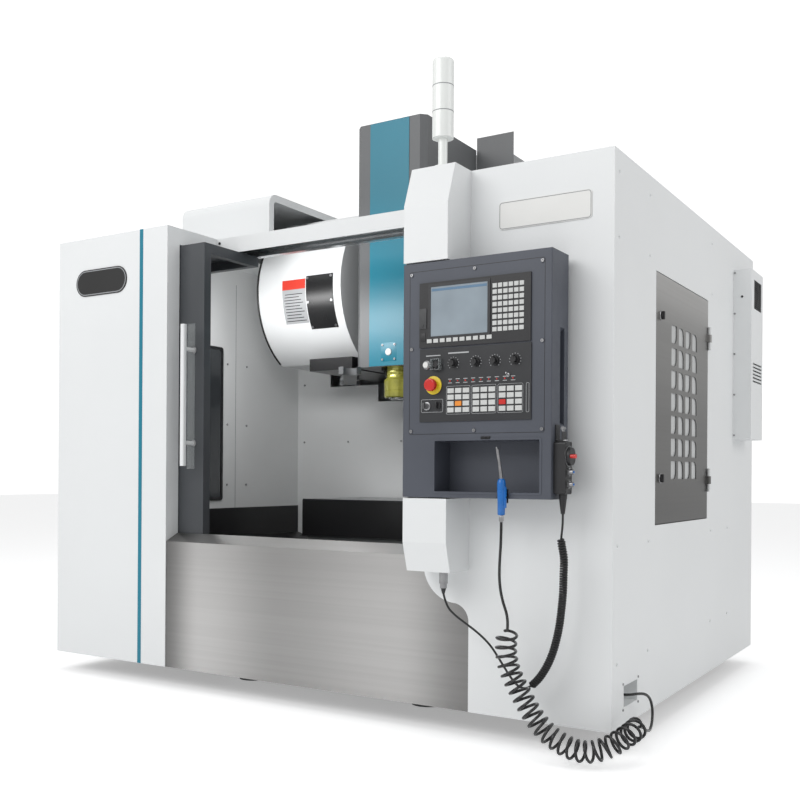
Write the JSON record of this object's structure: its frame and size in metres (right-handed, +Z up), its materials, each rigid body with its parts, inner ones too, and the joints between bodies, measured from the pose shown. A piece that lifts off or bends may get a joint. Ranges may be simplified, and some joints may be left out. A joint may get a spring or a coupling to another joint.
{
  "type": "cnc machining center",
  "caption": "Vertical machining centre in a sheet-metal guard, with sliding doors, tool changer, swivelling control box, handwheel pendant and air gun on a coiled hose.",
  "frame": {"origin": "middle of the footprint, on the floor, without the free cords", "axes": "+X to the right seen from the front, +Y to the back, +Z up"},
  "size_m": [2.6049, 2.079, 2.397],
  "materials": {
    "white_paint": "fine textured white powder coat",
    "dark_paint": "dark grey textured paint",
    "black_paint": "black satin paint",
    "grey_paint": "mid grey paint",
    "head_paint": "teal front, grey sides",
    "stainless": "brushed stainless sheet",
    "cast_iron": "grey painted casting",
    "ground_steel": "ground steel",
    "nose_finish": "steel under a yellowish oil film",
    "black_plastic": "black moulded plastic",
    "panel_plastic": "dark membrane panel",
    "red_plastic": "red moulded plastic",
    "white_plastic": "white plastic",
    "blue_plastic": "blue plastic",
    "black_rubber": "black hose and cable jacket",
    "trim": "teal stripe and bare badge plates"
  },
  "bodies": {
    "root": {"base_bed": "cast_iron", "levelling_feet": "cast_iron", "column": "cast_iron", "front_panels": "white_paint", "side_panels": "white_paint", "top_and_rear_panels": "white_paint", "inner_walls": "white_paint", "chip_pan": "black_paint", "front_apron": "stainless", "front_beam": "white_paint", "front_trims": "trim", "electrical_cabinet": "white_paint", "cooler_unit": "white_paint", "tower_light": "white_plastic", "post_covers": "white_paint", "magazine_cover": "white_paint", "changer_housing": "black_paint", "magazine_hood": "white_paint", "pendant_plug": "ground_steel", "air_hose": "black_rubber", "hose_coil": "black_rubber", "hose_end": "black_rubber", "cable_curl": "black_rubber", "cable_tail": "black_rubber"},
    "side_door": {"side_door": "stainless"},
    "side_latch_lower": {"side_latch_lower": "black_plastic"},
    "side_latch_upper": {"side_latch_upper": "black_plastic"},
    "cabinet_door": {"cabinet_door": "white_paint"},
    "main_switch": {"main_switch": "red_plastic"},
    "left_door": {"left_door": "dark_paint"},
    "right_door": {"right_door": "dark_paint"},
    "saddle": {"saddle": "cast_iron"},
    "table": {"table": "cast_iron"},
    "x_screw": {"x_screw": "ground_steel"},
    "y_screw": {"y_screw": "ground_steel"},
    "z_screw": {"z_screw": "ground_steel"},
    "head": {"head_casting": "cast_iron", "head_cover": "head_paint", "spindle_housing": "nose_finish"},
    "spindle": {"spindle": "ground_steel"},
    "change_arm": {"change_arm": "ground_steel"},
    "magazine_disc": {"magazine_disc": "cast_iron"},
    "control_box": {"control_box": "dark_paint", "control_front_plate": "dark_paint", "display_unit": "black_plastic", "operator_panel": "panel_plastic", "panel_keys": "black_plastic", "pendant_body": "black_plastic", "air_gun": "blue_plastic"},
    "power_button": {"power_button": "white_plastic"},
    "guarded_button": {"guarded_button": "black_plastic"},
    "emergency_stop": {"emergency_stop": "red_plastic"},
    "key_switch": {"key_switch": "ground_steel"},
    "pendant_wheel": {"pendant_wheel": "black_plastic"},
    "axis_selector": {"axis_selector": "ground_steel"},
    "step_selector": {"step_selector": "ground_steel"},
    "panel_knob_1": {"panel_knob_1": "black_plastic"},
    "panel_knob_2": {"panel_knob_2": "black_plastic"},
    "panel_knob_3": {"panel_knob_3": "black_plastic"},
    "panel_knob_4": {"panel_knob_4": "black_plastic"}
  },
  "joints": [
    {"name": "left_door_slide", "type": "slide", "parent": "root", "child": "left_door", "axis": [1, 0, 0], "range_m": [0, 0.611]},
    {"name": "right_door_slide", "type": "slide", "parent": "root", "child": "right_door", "axis": [-1, 0, 0], "range_m": [0, 0.465]},
    {"name": "saddle_slide", "type": "slide", "parent": "root", "child": "saddle", "axis": [0, -1, 0], "range_m": [0, 0.5]},
    {"name": "table_slide", "type": "slide", "parent": "saddle", "child": "table", "axis": [1, 0, 0], "range_m": [-0.4, 0.4]},
    {"name": "head_slide", "type": "slide", "parent": "root", "child": "head", "axis": [0, 0, 1], "range_m": [-0.341, 0.159]},
    {"name": "x_screw_spin", "type": "hinge", "parent": "saddle", "child": "x_screw", "pos_m": [-0.0375, 0.1595, 0.62], "axis": [1, 0, 0], "continuous": true},
    {"name": "y_screw_spin", "type": "hinge", "parent": "root", "child": "y_screw", "pos_m": [-0.0375, -0.6005, 0.405], "axis": [0, 1, 0], "continuous": true},
    {"name": "z_screw_spin", "type": "hinge", "parent": "root", "child": "z_screw", "pos_m": [-0.0375, 0.4595, 0.96], "axis": [0, 0, 1], "continuous": true},
    {"name": "spindle_spin", "type": "hinge", "parent": "head", "child": "spindle", "pos_m": [-0.0375, -0.0705, 1.186], "axis": [0, 0, 1], "continuous": true},
    {"name": "change_arm_swing", "type": "hinge", "parent": "root", "child": "change_arm", "pos_m": [-0.2925, -0.0705, 1.305], "axis": [0, 0, 1], "range_deg": [-38, 0]},
    {"name": "magazine_spin", "type": "hinge", "parent": "root", "child": "magazine_disc", "pos_m": [-0.3925, 0.2295, 1.7], "axis": [1, 0, 0], "continuous": true},
    {"name": "control_box_swing", "type": "hinge", "parent": "root", "child": "control_box", "pos_m": [0.6445, -0.9305, 0.783], "axis": [0, 0, 1], "range_deg": [-90, 0]},
    {"name": "side_door_swing", "type": "hinge", "parent": "root", "child": "side_door", "pos_m": [1.2205, 0.2245, 1.08], "axis": [0, 0, 1], "range_deg": [0, 110]},
    {"name": "side_latch_lower_turn", "type": "hinge", "parent": "side_door", "child": "side_latch_lower", "pos_m": [1.2125, -0.3825, 0.847], "axis": [1, 0, 0], "range_deg": [0, 90]},
    {"name": "side_latch_upper_turn", "type": "hinge", "parent": "side_door", "child": "side_latch_upper", "pos_m": [1.2125, -0.3825, 1.402], "axis": [1, 0, 0], "range_deg": [0, 90]},
    {"name": "cabinet_door_swing", "type": "hinge", "parent": "root", "child": "cabinet_door", "pos_m": [0.6065, 1.0195, 1.08], "axis": [0, 0, 1], "range_deg": [0, 110]},
    {"name": "main_switch_turn", "type": "hinge", "parent": "cabinet_door", "child": "main_switch", "pos_m": [1.0965, 1.0115, 1.48], "axis": [0, 1, 0], "range_deg": [0, 90]},
    {"name": "power_button_press", "type": "slide", "parent": "control_box", "child": "power_button", "axis": [0, 1, 0], "range_m": [0, 0.003], "stiffness_N_per_m": 400},
    {"name": "guarded_button_press", "type": "slide", "parent": "control_box", "child": "guarded_button", "axis": [0, 1, 0], "range_m": [0, 0.003], "stiffness_N_per_m": 400},
    {"name": "emergency_stop_press", "type": "slide", "parent": "control_box", "child": "emergency_stop", "axis": [0, 1, 0], "range_m": [0, 0.006]},
    {"name": "panel_knob_1_turn", "type": "hinge", "parent": "control_box", "child": "panel_knob_1", "pos_m": [0.7515, -1.0055, 1.202], "axis": [0, 1, 0], "range_deg": [-135, 135]},
    {"name": "panel_knob_2_turn", "type": "hinge", "parent": "control_box", "child": "panel_knob_2", "pos_m": [0.8295, -1.0055, 1.202], "axis": [0, 1, 0], "range_deg": [-135, 135]},
    {"name": "panel_knob_3_turn", "type": "hinge", "parent": "control_box", "child": "panel_knob_3", "pos_m": [0.8945, -1.0055, 1.202], "axis": [0, 1, 0], "range_deg": [-135, 135]},
    {"name": "panel_knob_4_turn", "type": "hinge", "parent": "control_box", "child": "panel_knob_4", "pos_m": [0.9625, -1.0055, 1.202], "axis": [0, 1, 0], "range_deg": [-135, 135]},
    {"name": "key_switch_turn", "type": "hinge", "parent": "control_box", "child": "key_switch", "pos_m": [0.6565, -1.0055, 1.071], "axis": [0, 1, 0], "range_deg": [0, 90]},
    {"name": "pendant_wheel_spin", "type": "hinge", "parent": "control_box", "child": "pendant_wheel", "pos_m": [1.1155, -0.9625, 0.911], "axis": [1, 0, 0], "continuous": true},
    {"name": "axis_selector_turn", "type": "hinge", "parent": "control_box", "child": "axis_selector", "pos_m": [1.1155, -0.9625, 0.865], "axis": [1, 0, 0], "range_deg": [-75, 75]},
    {"name": "step_selector_turn", "type": "hinge", "parent": "control_box", "child": "step_selector", "pos_m": [1.1155, -0.9625, 0.828], "axis": [1, 0, 0], "range_deg": [-45, 45]}
  ],
  "couplings": [
    {"joint": "x_screw_spin", "follows": "table_slide", "rad_per_m": 628.32},
    {"joint": "y_screw_spin", "follows": "saddle_slide", "rad_per_m": -628.32},
    {"joint": "z_screw_spin", "follows": "head_slide", "rad_per_m": 628.32}
  ]
}
